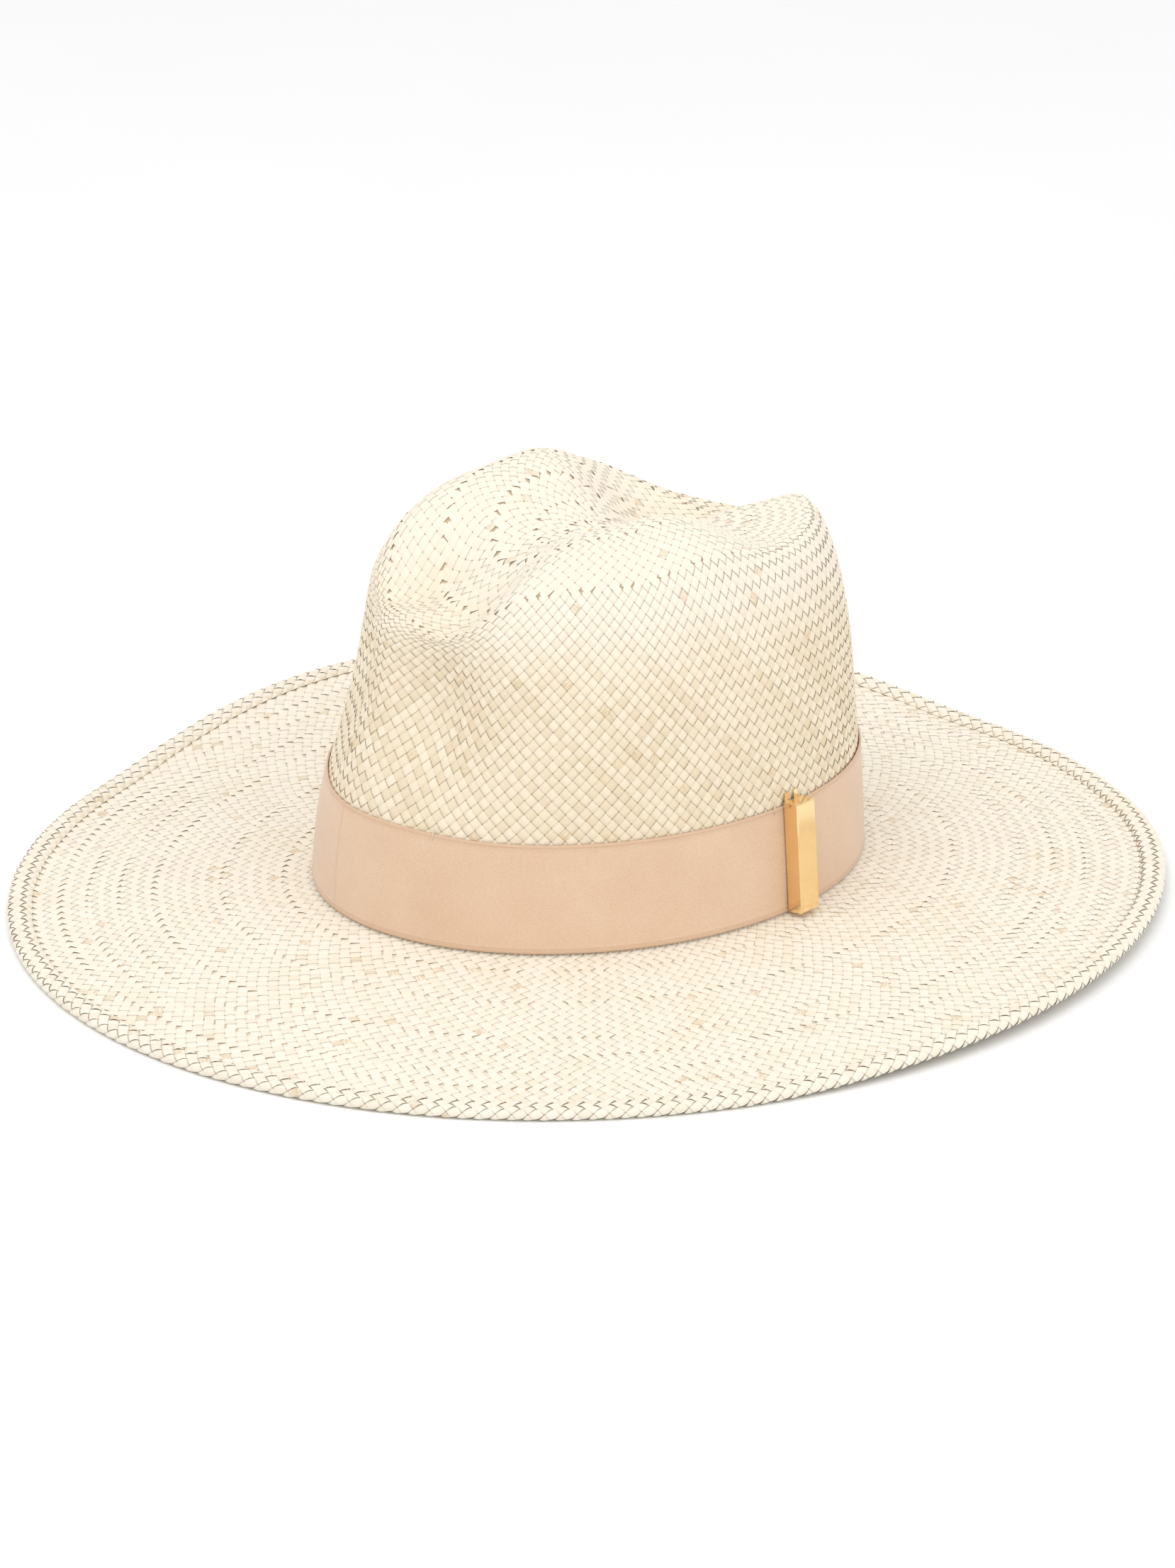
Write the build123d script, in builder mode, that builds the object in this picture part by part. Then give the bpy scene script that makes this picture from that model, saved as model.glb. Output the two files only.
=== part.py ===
import os
from math import cos, degrees, exp, pi, radians, sin, sqrt

from build123d import *

# Panama hat with a creased crown and a wide brim. Millimetres, +Z up.
# Origin: centre of the plane that the brim rests on. Front is -Y, the wearer's left is +X.
# Angles run from the front round to the wearer's left.

# ---- driving dimensions: head and brim -----------------------------------
HEAD_LENGTH = 203.0          # headline oval outside the straw, front to back
HEAD_WIDTH = 168.0           # headline oval outside the straw, side to side
BRIM_WIDTH = 108.6           # headline to the outside of the edge braid
JUNCTION_Z = 10.0            # where the crown wall meets the top of the brim
STRAW = 1.4                  # thickness of the woven straw
EDGE_WIDTH = 8.0             # braided edge of the brim
EDGE_THICKNESS = 4.2
EDGE_ROUND = 1.2
RIM_GAP = 0.02               # clearance between the weave and the edge braid
EDGE_REST = 0.05             # the braid is pressed flat by this much where it rests
BRIM_LIFT = 15.8             # the rim is turned up on the wearer's right
LIFT_ANGLE = -110.0
LIFT_START = 0.55            # cosine of half the angle that the lift takes up
LIFT_CURVE = 1.5
BRIM_ROOT = 8.0              # the brim runs on this far inside the crown wall

# ---- driving dimensions: crown -------------------------------------------
CROWN_HEIGHT = 139.9         # uncreased crown above the brim
SHOULDER_ROUND = 4.1         # superellipse powers of the uncreased crown
SHOULDER_ROUND_BACK = 10.0
SHOULDER_SPREAD = 0.86       # share of the radius inside which the top lies
WALL_STEEPNESS = 6.8
TAPER_FRONT = 0.187          # how far the wall leans in by the top, as a share of the oval
TAPER_BACK = 0.096
TAPER_SIDE = 0.176
TAPER_POWER = 1.29
BACK_DROP = 16.7             # the top falls away behind the middle
BACK_RUN = 47.4
DENT_DEPTH = 18.0            # long dent, wide at the front, drifting to the right at the back
DENT_HALF_WIDTH = 46.0
DENT_HALF_WIDTH_BACK = 40.0
DENT_DRIFT = 29.2
DENT_DRIFT_RUN = 62.0
DENT_NOSE_START = 46.0       # the dent fades out towards the nose from here
DENT_NOSE_RUN = 44.0
NOSE_DROP = 10.2             # the nose is lower than the sides
NOSE_SPREAD = 34.0
PINCH_DEPTH = 14.0           # the two finger pinches beside the nose
PINCH_DROP = 12.0
PINCH_ANGLE = 18.5
PINCH_SPREAD = 16.0
PINCH_Z = 80.0
PINCH_HEIGHT = 30.0

# ---- driving dimensions: ribbon and gold bar ------------------------------
BAND_HEIGHT = 38.0
BAND_THICKNESS = 0.8
BAND_BOTTOM = 1.4            # height of the ribbon's lower edge above the brim
BAND_GAP = 0.2               # clearance between the ribbon and the straw
KEEPER_ANGLE = 115.0
KEEPER_WIDTH = 9.5
KEEPER_HEIGHT = 40.0
KEEPER_DEPTH = 6.0
KEEPER_SHEET = 1.0
KEEPER_RAISE = 0.6           # the bar's middle stands this far above the ribbon's middle
KEEPER_GAP = 0.2
PRONG_WIDTH = 1.8
PRONG_SHEET = 0.6
PRONG_REACH = 3.0
PRONG_DEPTH = 0.9
PRONG_TIP = 0.25
TACK_TURNS = (-6.0, 6.0, 90.0, 180.0, 270.0)    # degrees round from the gold bar
TACK_RADIUS = 0.3
TACK_LENGTH = 4.0

# ---- driving dimensions: inside the head opening --------------------------
SWEAT_HEIGHT = 32.0
SWEAT_THICKNESS = 0.9
SWEAT_GAP = 0.3
REED_RADIUS = 1.0
REED_GAP = 0.1
STITCH_COUNT = 96
STITCH_HEIGHT = 2.0
STITCH_LENGTH = 2.4
STITCH_THREAD = 0.5
BOW_HEIGHT = 12.0
BOW_GAP = 1.1
BOW_LOOP = 9.0
BOW_LOOP_HALF_HEIGHT = 2.4
BOW_TILT = 12.0
BOW_THICKNESS = 1.6
BOW_KNOT = (2.6, 4.2, 2.2)   # width, height and thickness of the knot
TAB_ANGLE = 205.0
TAB_WIDTH = 12.0
TAB_HEIGHT = 16.0
TAB_THICKNESS = 0.4
TAB_BELOW_TOP = 2.0
TAB_GAP = 0.5

# ---- how finely the curved forms are followed -----------------------------
RING_POINTS = 48
WALL_LEVELS = (0.0, 0.14, 0.28, 0.42, 0.54, 0.64, 0.72, 0.79, 0.85)
TOP_SPREADS = (0.87, 0.78, 0.68, 0.57, 0.46, 0.35, 0.24, 0.13)
BRIM_SHARES = (0.75, 0.5, 0.25, 0.05)

RIM = BRIM_WIDTH - EDGE_WIDTH
RIM_TOP_Z = EDGE_THICKNESS / 2 + STRAW / 2
SWEAT_OUTSIDE = -(STRAW + SWEAT_GAP)
SWEAT_INSIDE = SWEAT_OUTSIDE - SWEAT_THICKNESS


def clamp(value):
    return max(0.0, min(1.0, value))


def smooth(value):
    value = clamp(value)
    return value * value * (3 - 2 * value)


def oval_radius(angle, grow=0.0):
    """Radius of the headline oval at an angle from the front, grown by some millimetres."""
    along = HEAD_LENGTH / 2 + grow
    across = HEAD_WIDTH / 2 + grow
    return 1 / sqrt((sin(angle) / across) ** 2 + (cos(angle) / along) ** 2)


def lean(angle, level):
    """How far the wall has leaned in at a level from 0, the brim, to 1, the top."""
    front = max(0.0, cos(angle)) ** 2
    back = max(0.0, -cos(angle)) ** 2
    side = sin(angle) ** 2
    share = TAPER_FRONT * front + TAPER_BACK * back + TAPER_SIDE * side
    return 1 - share * level ** TAPER_POWER


def pinch(angle):
    """Strength of the two finger pinches at an angle from the front."""
    turn = (degrees(angle) + 180) % 360 - 180
    left = exp(-(((turn - PINCH_ANGLE) / PINCH_SPREAD) ** 2))
    right = exp(-(((turn + PINCH_ANGLE) / PINCH_SPREAD) ** 2))
    return left + right


def nose(angle):
    turn = (degrees(angle) + 180) % 360 - 180
    return exp(-((turn / NOSE_SPREAD) ** 2))


def dent(across, forward):
    """Depth of the long dent at a place on the top of the crown."""
    backward = smooth(-forward / DENT_DRIFT_RUN)
    half = DENT_HALF_WIDTH + (DENT_HALF_WIDTH_BACK - DENT_HALF_WIDTH) * backward
    middle = -DENT_DRIFT * backward
    fade = 1 - smooth((forward - DENT_NOSE_START) / DENT_NOSE_RUN)
    return DENT_DEPTH * fade * (1 - smooth(abs(across - middle) / half))


def squared(angle, spread, level):
    """Level with the shoulder made squarer towards the back."""
    backward = smooth((0.35 - cos(angle)) / 1.2)
    power = SHOULDER_ROUND + (SHOULDER_ROUND_BACK - SHOULDER_ROUND) * backward
    square = (1 - min(1.0, spread) ** power) ** (1 / WALL_STEEPNESS)
    return level + (square - level) * smooth((1 - spread) / (1 - SHOULDER_SPREAD))


def crown_point(angle, spread, level, inset=0.0):
    """Point on the crown: spread is 0 at the tip and 1 on the wall, level is 0 at the brim."""
    level = squared(angle, spread, level)
    height = CROWN_HEIGHT * level
    radius = (oval_radius(angle) - inset) * spread * lean(angle, level)
    reach = exp(-(((height - PINCH_Z) / PINCH_HEIGHT) ** 2))
    radius -= PINCH_DEPTH * pinch(angle) * reach * smooth(spread / 0.8)
    across = radius * sin(angle)
    forward = radius * cos(angle)
    height -= BACK_DROP * smooth(-forward / BACK_RUN) * level ** 12
    height -= dent(across, forward) * smooth((level - 0.74) / 0.2)
    height -= NOSE_DROP * nose(angle) * smooth((level - 0.55) / 0.4) * smooth((spread - 0.2) / 0.55)
    height -= PINCH_DROP * pinch(angle) * smooth((level - 0.7) / 0.25) * smooth((spread - 0.35) / 0.4)
    return (across, -forward, JUNCTION_Z + height)


def spread_at(level):
    return (1 - level ** WALL_STEEPNESS) ** (1 / SHOULDER_ROUND)


def level_at(spread):
    return (1 - spread ** SHOULDER_ROUND) ** (1 / WALL_STEEPNESS)


def closed_ring(points):
    with BuildLine() as ring:
        Spline(*points, periodic=True)
    return ring.wire()


def around():
    return [2 * pi * step / RING_POINTS for step in range(RING_POINTS)]


def crown_ring(spread, level, inset=0.0, lower=0.0):
    points = [crown_point(angle, spread, level, inset) for angle in around()]
    return closed_ring([(x, y, z - lower) for x, y, z in points])


def lift(angle):
    """How far the rim is turned up at an angle."""
    return BRIM_LIFT * smooth((cos(angle - radians(LIFT_ANGLE)) - LIFT_START) / (1 - LIFT_START))


def oval_ring(grow, z, lifted=0.0):
    """Oval round the head, level or lifted by a share of the brim's lift."""
    points = []
    for angle in around():
        radius = oval_radius(angle, grow)
        points.append((radius * sin(angle), -radius * cos(angle), z + lifted * lift(angle)))
    return closed_ring(points)


def oval_block(grow, bottom, top):
    return Solid.extrude(Face(oval_ring(grow, bottom)), Vector(0, 0, top - bottom))


def wall_ring(height, grow):
    """Level ring on the crown wall at a height above the brim, grown outwards by some millimetres."""
    level = max(0.0, height) / CROWN_HEIGHT
    points = [crown_point(angle, spread_at(level), level, -grow) for angle in around()]
    return closed_ring([(x, y, JUNCTION_Z + height) for x, y, z in points])


def wall_band(bottom, top, inside, outside):
    """Band of even thickness that follows the crown wall."""
    middle = (bottom + top) / 2
    outer = Solid.make_loft([wall_ring(height, outside) for height in (bottom, middle, top)])
    inner = Solid.make_loft([wall_ring(height, inside) for height in (bottom - 1, middle, top + 1)])
    return outer.cut(inner)


def crown_solid(inset, bottom):
    """Solid of the crown inside its straw surface, reaching down to a height above the rest plane."""
    rings = [oval_ring(-inset, bottom)] if bottom < JUNCTION_Z else []
    rings += [crown_ring(spread_at(level), level, inset, inset * level) for level in WALL_LEVELS]
    rings += [crown_ring(spread, level_at(spread), inset, inset * level_at(spread)) for spread in TOP_SPREADS]
    x, y, z = crown_point(0, 0, 1)
    return Solid.make_loft(rings + [Vertex(x, y, z - inset)])


def under_brim(drop, past_rim, bottom):
    """Everything between a level bottom and the brim's top surface, lowered by some millimetres."""
    slope = (JUNCTION_Z - RIM_TOP_Z) / RIM
    outer = RIM + past_rim
    rings = [oval_ring(outer, bottom), oval_ring(outer, RIM_TOP_Z - slope * past_rim - drop, 1.0)]
    for share in BRIM_SHARES:
        rings.append(oval_ring(RIM * share, JUNCTION_Z - slope * RIM * share - drop, share ** LIFT_CURVE))
    rings.append(oval_ring(-BRIM_ROOT, JUNCTION_Z + slope * BRIM_ROOT - drop))
    return Solid.make_loft(rings, ruled=True)


def edge_block():
    """Everything inside and under the braided edge's outer surface."""
    profile = ((BRIM_WIDTH - EDGE_ROUND, 0.0), (BRIM_WIDTH - EDGE_ROUND * 0.3, EDGE_ROUND * 0.3),
               (BRIM_WIDTH, EDGE_ROUND), (BRIM_WIDTH, EDGE_THICKNESS - EDGE_ROUND),
               (BRIM_WIDTH - EDGE_ROUND * 0.3, EDGE_THICKNESS - EDGE_ROUND * 0.3),
               (BRIM_WIDTH - EDGE_ROUND, EDGE_THICKNESS), (RIM - 1, EDGE_THICKNESS))
    rings = [oval_ring(BRIM_WIDTH - EDGE_ROUND, -EDGE_THICKNESS)]
    rings += [oval_ring(grow, z - EDGE_REST, 1.0) for grow, z in profile]
    rings.append(oval_ring(RIM / 2, EDGE_THICKNESS * 2))
    return Solid.make_loft(rings, ruled=True)


def under_edge():
    """Everything under the braided edge."""
    rings = [oval_ring(BRIM_WIDTH + 2, -2 * EDGE_THICKNESS), oval_ring(BRIM_WIDTH + 2, -EDGE_REST, 1.0),
             oval_ring(RIM - 2, -EDGE_REST, 1.0), oval_ring(RIM / 2, -EDGE_THICKNESS)]
    return Solid.make_loft(rings, ruled=True)


def wall_plane(angle_deg, height, grow):
    """Plane on the crown wall: X runs along the wall, Y up it and Z out of it."""
    angle = radians(angle_deg)
    step = 0.01
    here = Vector(*crown_point(angle, spread_at(height / CROWN_HEIGHT), height / CROWN_HEIGHT, -grow))
    aside = Vector(*crown_point(angle + step, spread_at(height / CROWN_HEIGHT), height / CROWN_HEIGHT, -grow))
    level = (height + 1) / CROWN_HEIGHT
    above = Vector(*crown_point(angle, spread_at(level), level, -grow))
    along = (aside - here).normalized()
    return Plane(origin=here, x_dir=along, z_dir=along.cross((above - here).normalized()))


# ---- straw body: crown and brim are one weave ---------------------------
brim = under_brim(0.0, -RIM_GAP, -5.0).cut(under_brim(STRAW, 2.0, -6.0))
filled_hat = brim.fuse(crown_solid(0.0, JUNCTION_Z - BRIM_ROOT / 2))
with BuildPart() as straw_body:
    add(filled_hat.cut(crown_solid(STRAW, -1.0)))
straw_body.part.label = "straw_body"

# ---- braided edge: the thick selvedge that the hat rests on --------------
with BuildPart() as edge_braid:
    add(edge_block())
    add(under_edge(), mode=Mode.SUBTRACT)
    add(oval_block(RIM, -20.0, 60.0), mode=Mode.SUBTRACT)
    add(oval_block(BRIM_WIDTH + 5, -20.0, 0.0), mode=Mode.SUBTRACT)
edge_braid.part.label = "edge_braid"

# ---- ribbon round the crown ---------------------------------------------
with BuildPart() as hatband:
    add(wall_band(BAND_BOTTOM, BAND_BOTTOM + BAND_HEIGHT, BAND_GAP, BAND_GAP + BAND_THICKNESS))
hatband.part.label = "hatband"

# ---- keeper bar: a channel of bent sheet that stands over the ribbon -----
keeper_middle = BAND_BOTTOM + BAND_HEIGHT / 2 + KEEPER_RAISE
keeper_plane = wall_plane(KEEPER_ANGLE, keeper_middle, BAND_GAP + BAND_THICKNESS)
with BuildPart() as keeper_bar:
    with BuildSketch(keeper_plane.offset(KEEPER_GAP)):
        Rectangle(KEEPER_WIDTH, KEEPER_HEIGHT)
    extrude(amount=KEEPER_DEPTH)
    front_edges = keeper_bar.faces().sort_by(Axis(keeper_plane.origin, keeper_plane.z_dir))[-1].edges()
    chamfer(front_edges, length=0.4)
    with BuildSketch(keeper_plane.offset(KEEPER_GAP)):
        Rectangle(KEEPER_WIDTH - 2 * KEEPER_SHEET, KEEPER_HEIGHT - 2 * KEEPER_SHEET)
    extrude(amount=KEEPER_DEPTH - KEEPER_SHEET, mode=Mode.SUBTRACT)
keeper_bar.part.label = "keeper_bar"

# ---- keeper prongs: tabs at the bar's ends, the upper pair turned out over the straw
prong_y = KEEPER_HEIGHT / 2 - PRONG_SHEET / 2
with BuildPart() as keeper_prongs:
    for side in (-1, 1):
        for end in (-1, 1):
            with BuildSketch(keeper_plane.offset(KEEPER_GAP)):
                with Locations((side * KEEPER_WIDTH / 4, end * prong_y)):
                    Rectangle(PRONG_WIDTH, PRONG_SHEET)
            extrude(amount=-PRONG_DEPTH)
        with BuildSketch(keeper_plane.offset(-PRONG_DEPTH / 2)):
            with Locations((side * KEEPER_WIDTH / 4, prong_y + PRONG_REACH / 2)):
                Rectangle(PRONG_WIDTH, PRONG_REACH)
        extrude(amount=-PRONG_TIP)
keeper_prongs.part.label = "keeper_prongs"

# ---- band tacks: short upright thread stitches over the ribbon's top edge -
with BuildPart() as band_tacks:
    for turn in TACK_TURNS:
        tack_out = BAND_GAP + BAND_THICKNESS + TACK_RADIUS
        tack_plane = wall_plane(KEEPER_ANGLE + turn, BAND_BOTTOM + BAND_HEIGHT, tack_out)
        tack_foot = tack_plane.origin - tack_plane.y_dir * TACK_LENGTH / 2
        with BuildSketch(Plane(origin=tack_foot, z_dir=tack_plane.y_dir)):
            Circle(TACK_RADIUS)
        extrude(amount=TACK_LENGTH)
band_tacks.part.label = "band_tacks"

# ---- sweatband: leather band standing inside the head opening ------------
with BuildPart() as sweatband:
    add(wall_band(0.0, SWEAT_HEIGHT, SWEAT_INSIDE, SWEAT_OUTSIDE))
sweatband.part.label = "sweatband"

# ---- reed: round cord along the lower edge of the sweatband --------------
REED_INSET = STRAW + SWEAT_GAP + REED_RADIUS
REED_Z = JUNCTION_Z - REED_RADIUS - REED_GAP
reed_path = oval_ring(-REED_INSET, REED_Z)
with BuildPart() as sweatband_reed:
    with BuildSketch(Plane(origin=reed_path @ 0, z_dir=reed_path % 0)):
        Circle(REED_RADIUS)
    sweep(path=reed_path)
sweatband_reed.part.label = "sweatband_reed"

# ---- stitches that hold the sweatband to the reed and the straw ----------
with BuildPart() as sweatband_stitches:
    for step in range(STITCH_COUNT):
        stitch_plane = wall_plane(360 * step / STITCH_COUNT, STITCH_HEIGHT, SWEAT_INSIDE - 0.05)
        with BuildSketch(stitch_plane):
            SlotOverall(STITCH_LENGTH, STITCH_THREAD)
        extrude(amount=-STITCH_THREAD)
sweatband_stitches.part.label = "sweatband_stitches"

# ---- bow over the sweatband's join at the back ---------------------------
with BuildPart() as sweatband_bow:
    bow_plane = wall_plane(180, BOW_HEIGHT, SWEAT_INSIDE - BOW_GAP)
    with BuildSketch(bow_plane):
        with Locations(Location((-BOW_LOOP / 2, 0, 0), BOW_TILT), Location((BOW_LOOP / 2, 0, 0), -BOW_TILT)):
            Ellipse(BOW_LOOP / 2 + 0.8, BOW_LOOP_HALF_HEIGHT)
    extrude(amount=-BOW_THICKNESS)
    with BuildSketch(bow_plane):
        RectangleRounded(BOW_KNOT[0], BOW_KNOT[1], 0.8)
    extrude(amount=-BOW_KNOT[2])
sweatband_bow.part.label = "sweatband_bow"

# ---- blank size tab below the sweatband's top edge -----------------------
with BuildPart() as size_tab:
    tab_middle = SWEAT_HEIGHT - TAB_HEIGHT / 2 - TAB_BELOW_TOP
    with BuildSketch(wall_plane(TAB_ANGLE, tab_middle, SWEAT_INSIDE - TAB_GAP)):
        RectangleRounded(TAB_WIDTH, TAB_HEIGHT, 1.0)
    extrude(amount=-TAB_THICKNESS)
size_tab.part.label = "size_tab"

# ---- write every piece ---------------------------------------------------
os.makedirs("parts", exist_ok=True)
export_step(straw_body.part, "parts/straw_body.step")
export_step(edge_braid.part, "parts/edge_braid.step")
export_step(hatband.part, "parts/hatband.step")
export_step(keeper_bar.part, "parts/keeper_bar.step")
export_step(keeper_prongs.part, "parts/keeper_prongs.step")
export_step(band_tacks.part, "parts/band_tacks.step")
export_step(sweatband.part, "parts/sweatband.step")
export_step(sweatband_reed.part, "parts/sweatband_reed.step")
export_step(sweatband_stitches.part, "parts/sweatband_stitches.step")
export_step(sweatband_bow.part, "parts/sweatband_bow.step")
export_step(size_tab.part, "parts/size_tab.step")
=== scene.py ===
import bpy
import numpy as np
from math import cos, pi, radians, sin
from mathutils import Matrix, Vector


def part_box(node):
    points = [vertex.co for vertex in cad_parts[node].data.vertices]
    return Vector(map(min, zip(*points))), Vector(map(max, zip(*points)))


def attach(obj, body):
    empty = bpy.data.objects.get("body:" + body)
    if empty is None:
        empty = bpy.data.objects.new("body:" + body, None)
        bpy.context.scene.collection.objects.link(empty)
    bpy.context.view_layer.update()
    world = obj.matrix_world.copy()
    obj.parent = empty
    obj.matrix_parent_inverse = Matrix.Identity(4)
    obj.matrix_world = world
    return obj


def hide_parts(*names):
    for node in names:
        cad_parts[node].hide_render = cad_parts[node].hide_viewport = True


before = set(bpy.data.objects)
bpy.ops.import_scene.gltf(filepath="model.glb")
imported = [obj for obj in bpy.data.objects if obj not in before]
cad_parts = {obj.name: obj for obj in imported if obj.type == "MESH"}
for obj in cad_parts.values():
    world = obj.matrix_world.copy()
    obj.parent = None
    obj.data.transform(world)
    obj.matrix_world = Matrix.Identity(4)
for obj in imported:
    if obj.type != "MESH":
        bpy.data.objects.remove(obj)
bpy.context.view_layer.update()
MM = 0.001

# ---- the hat's form, in metres: the same formulas as the frame's straw body ----
HEAD_LENGTH = 0.203
HEAD_WIDTH = 0.168
BRIM_WIDTH = 0.1086
EDGE_WIDTH = 0.008
EDGE_THICKNESS = 0.0042
STRAW = 0.0014
JUNCTION_Z = 0.010
RIM_TOP_Z = EDGE_THICKNESS / 2 + STRAW / 2
BRIM_LIFTS = ((0.0158, radians(-110), 0.55), (0.0035, radians(125), 0.62))
LIFT_CURVE = 1.5
CROWN_HEIGHT = 0.1399
SHOULDER_ROUND = 4.1
SHOULDER_ROUND_BACK = 10.0
SHOULDER_SPREAD = 0.86
WALL_STEEPNESS = 6.8
TAPER_FRONT, TAPER_BACK, TAPER_SIDE, TAPER_POWER = 0.187, 0.096, 0.176, 1.29
BACK_DROP, BACK_RUN = 0.0167, 0.0474
DENT_DEPTH, DENT_HALF_WIDTH, DENT_HALF_WIDTH_BACK = 0.0180, 0.0460, 0.0400
DENT_DRIFT, DENT_DRIFT_RUN = 0.0292, 0.062
DENT_NOSE_START, DENT_NOSE_RUN = 0.0460, 0.0440
NOSE_DROP, NOSE_SPREAD = 0.0102, radians(34.0)
PINCH_DEPTH, PINCH_DROP, PINCH_ANGLE, PINCH_SPREAD = 0.0140, 0.0120, radians(18.5), radians(16.0)
PINCH_Z, PINCH_HEIGHT = 0.0800, 0.0300
MEAN_RADIUS = 0.0925         # of the head oval, for lengths along the crown
MEAN_TAPER = 0.14

# ---- the weave ----
STRAND = 0.0033              # width of one straw strand
WALL_RISE = 0.36 * MM        # how far a strand rises over the one that it crosses
TOP_RISE = 0.24 * MM
BRIM_RISE = 0.22 * MM
DOME = 0.16 * MM             # how round a strand is across its width
STRAND_REACH = 1.16          # length of a strand's visible part, for a cell of 1
STRAND_FILL = 0.97           # its width in the middle, for a cell of 1
STRAND_NARROWING = 0.09      # how much of that it loses where it dips under its neighbours

rng = np.random.default_rng(7)


def smooth(value):
    value = np.clip(value, 0.0, 1.0)
    return value * value * (3 - 2 * value)


def wrapped(angle):
    return (angle + pi) % (2 * pi) - pi


def oval_radius(angle, grow=0.0):
    along = HEAD_LENGTH / 2 + grow
    across = HEAD_WIDTH / 2 + grow
    return 1 / np.sqrt((np.sin(angle) / across) ** 2 + (np.cos(angle) / along) ** 2)


def lean(angle, level):
    front = np.clip(np.cos(angle), 0, 1) ** 2
    back = np.clip(-np.cos(angle), 0, 1) ** 2
    share = TAPER_FRONT * front + TAPER_BACK * back + TAPER_SIDE * np.sin(angle) ** 2
    return 1 - share * level ** TAPER_POWER


def pinch(angle):
    turn = wrapped(angle)
    right = np.exp(-(((turn - PINCH_ANGLE) / PINCH_SPREAD) ** 2))
    return right + np.exp(-(((turn + PINCH_ANGLE) / PINCH_SPREAD) ** 2))


def dent(across, forward):
    backward = smooth(-forward / DENT_DRIFT_RUN)
    half = DENT_HALF_WIDTH + (DENT_HALF_WIDTH_BACK - DENT_HALF_WIDTH) * backward
    fade = 1 - smooth((forward - DENT_NOSE_START) / DENT_NOSE_RUN)
    return DENT_DEPTH * fade * (1 - smooth(np.abs(across + DENT_DRIFT * backward) / half))


def squared(angle, spread, level):
    """The level with the shoulder made squarer towards the back of the crown."""
    backward = smooth((0.35 - np.cos(angle)) / 1.2)
    power = SHOULDER_ROUND + (SHOULDER_ROUND_BACK - SHOULDER_ROUND) * backward
    square = np.clip(1 - np.clip(spread, 0, 1) ** power, 0, 1) ** (1 / WALL_STEEPNESS)
    return level + (square - level) * smooth((1 - spread) / (1 - SHOULDER_SPREAD))


def crown_point(angle, spread, level, grow=0.0):
    """Points on the outside of the crown: spread is 0 at the tip, 1 on the wall; level is 0 at the brim."""
    level = squared(angle, spread, level)
    height = CROWN_HEIGHT * level
    radius = (oval_radius(angle) + grow) * spread * lean(angle, level)
    reach = np.exp(-(((height - PINCH_Z) / PINCH_HEIGHT) ** 2))
    radius = radius - PINCH_DEPTH * pinch(angle) * reach * smooth(spread / 0.8)
    across = radius * np.sin(angle)
    forward = radius * np.cos(angle)
    height = height - BACK_DROP * smooth(-forward / BACK_RUN) * level ** 12
    height = height - dent(across, forward) * smooth((level - 0.74) / 0.2)
    nose = np.exp(-((wrapped(angle) / NOSE_SPREAD) ** 2))
    height = height - NOSE_DROP * nose * smooth((level - 0.55) / 0.4) * smooth((spread - 0.2) / 0.55)
    height = height - PINCH_DROP * pinch(angle) * smooth((level - 0.7) / 0.25) * smooth((spread - 0.35) / 0.4)
    return np.stack([across, -forward, JUNCTION_Z + height], -1)


def profile_table():
    """Spread and level of the uncreased crown at even steps of way along it, from the tip to the brim."""
    spread = np.linspace(0, SHOULDER_SPREAD, 400)
    level = (1 - spread ** SHOULDER_ROUND) ** (1 / WALL_STEEPNESS)
    wall_level = np.linspace(level[-1], 0, 400)[1:]
    wall_spread = (1 - wall_level ** WALL_STEEPNESS) ** (1 / SHOULDER_ROUND)
    spread, level = np.concatenate([spread, wall_spread]), np.concatenate([level, wall_level])
    radius = spread * MEAN_RADIUS * (1 - MEAN_TAPER * level ** TAPER_POWER)
    way = np.concatenate([[0], np.cumsum(np.hypot(np.diff(radius), np.diff(level * CROWN_HEIGHT)))])
    return way, spread, level


WAY, SPREAD, LEVEL = profile_table()
CROWN_WAY = WAY[-1]


def crown_surface(angle, way):
    """Crown by way from the tip, in metres along the straw."""
    return crown_point(angle, np.interp(way, WAY, SPREAD), np.interp(way, WAY, LEVEL))


def lift(angle):
    """How far the rim is turned up at an angle."""
    return sum(height * smooth((np.cos(angle - middle) - start) / (1 - start))
               for height, middle, start in BRIM_LIFTS)


def brim_surface(angle, out):
    """Top of the brim by distance out from the crown."""
    radius = oval_radius(angle, out)
    share = out / (BRIM_WIDTH - EDGE_WIDTH)
    z = JUNCTION_Z + (RIM_TOP_Z - JUNCTION_Z) * share + lift(angle) * np.maximum(share, 0) ** LIFT_CURVE
    return np.stack([radius * np.sin(angle), -radius * np.cos(angle), z], -1)


def edge_profile():
    """Section through the braided edge, from its inner top round the rim to its inner underside."""
    corners = np.array([(-0.8, 2.2), (0.1, 3.45), (1.4, 3.75), (6.1, 3.75), (7.35, 3.1), (7.45, 1.1),
                        (6.1, 0.65), (1.4, 0.65), (-0.2, 1.3)]) * MM
    length = np.concatenate([[0], np.cumsum(np.hypot(*np.diff(corners, axis=0).T))])
    even = np.linspace(0, 1, 200)
    out, z = (np.interp(even, length / length[-1], corners[:, axis]) for axis in (0, 1))
    soft = np.hanning(21) / np.hanning(21).sum()
    out, z = (np.convolve(np.pad(values, 10, "edge"), soft, "valid") for values in (out, z))
    return even, out, z


EDGE_EVEN, EDGE_OUT, EDGE_Z = edge_profile()


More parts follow.
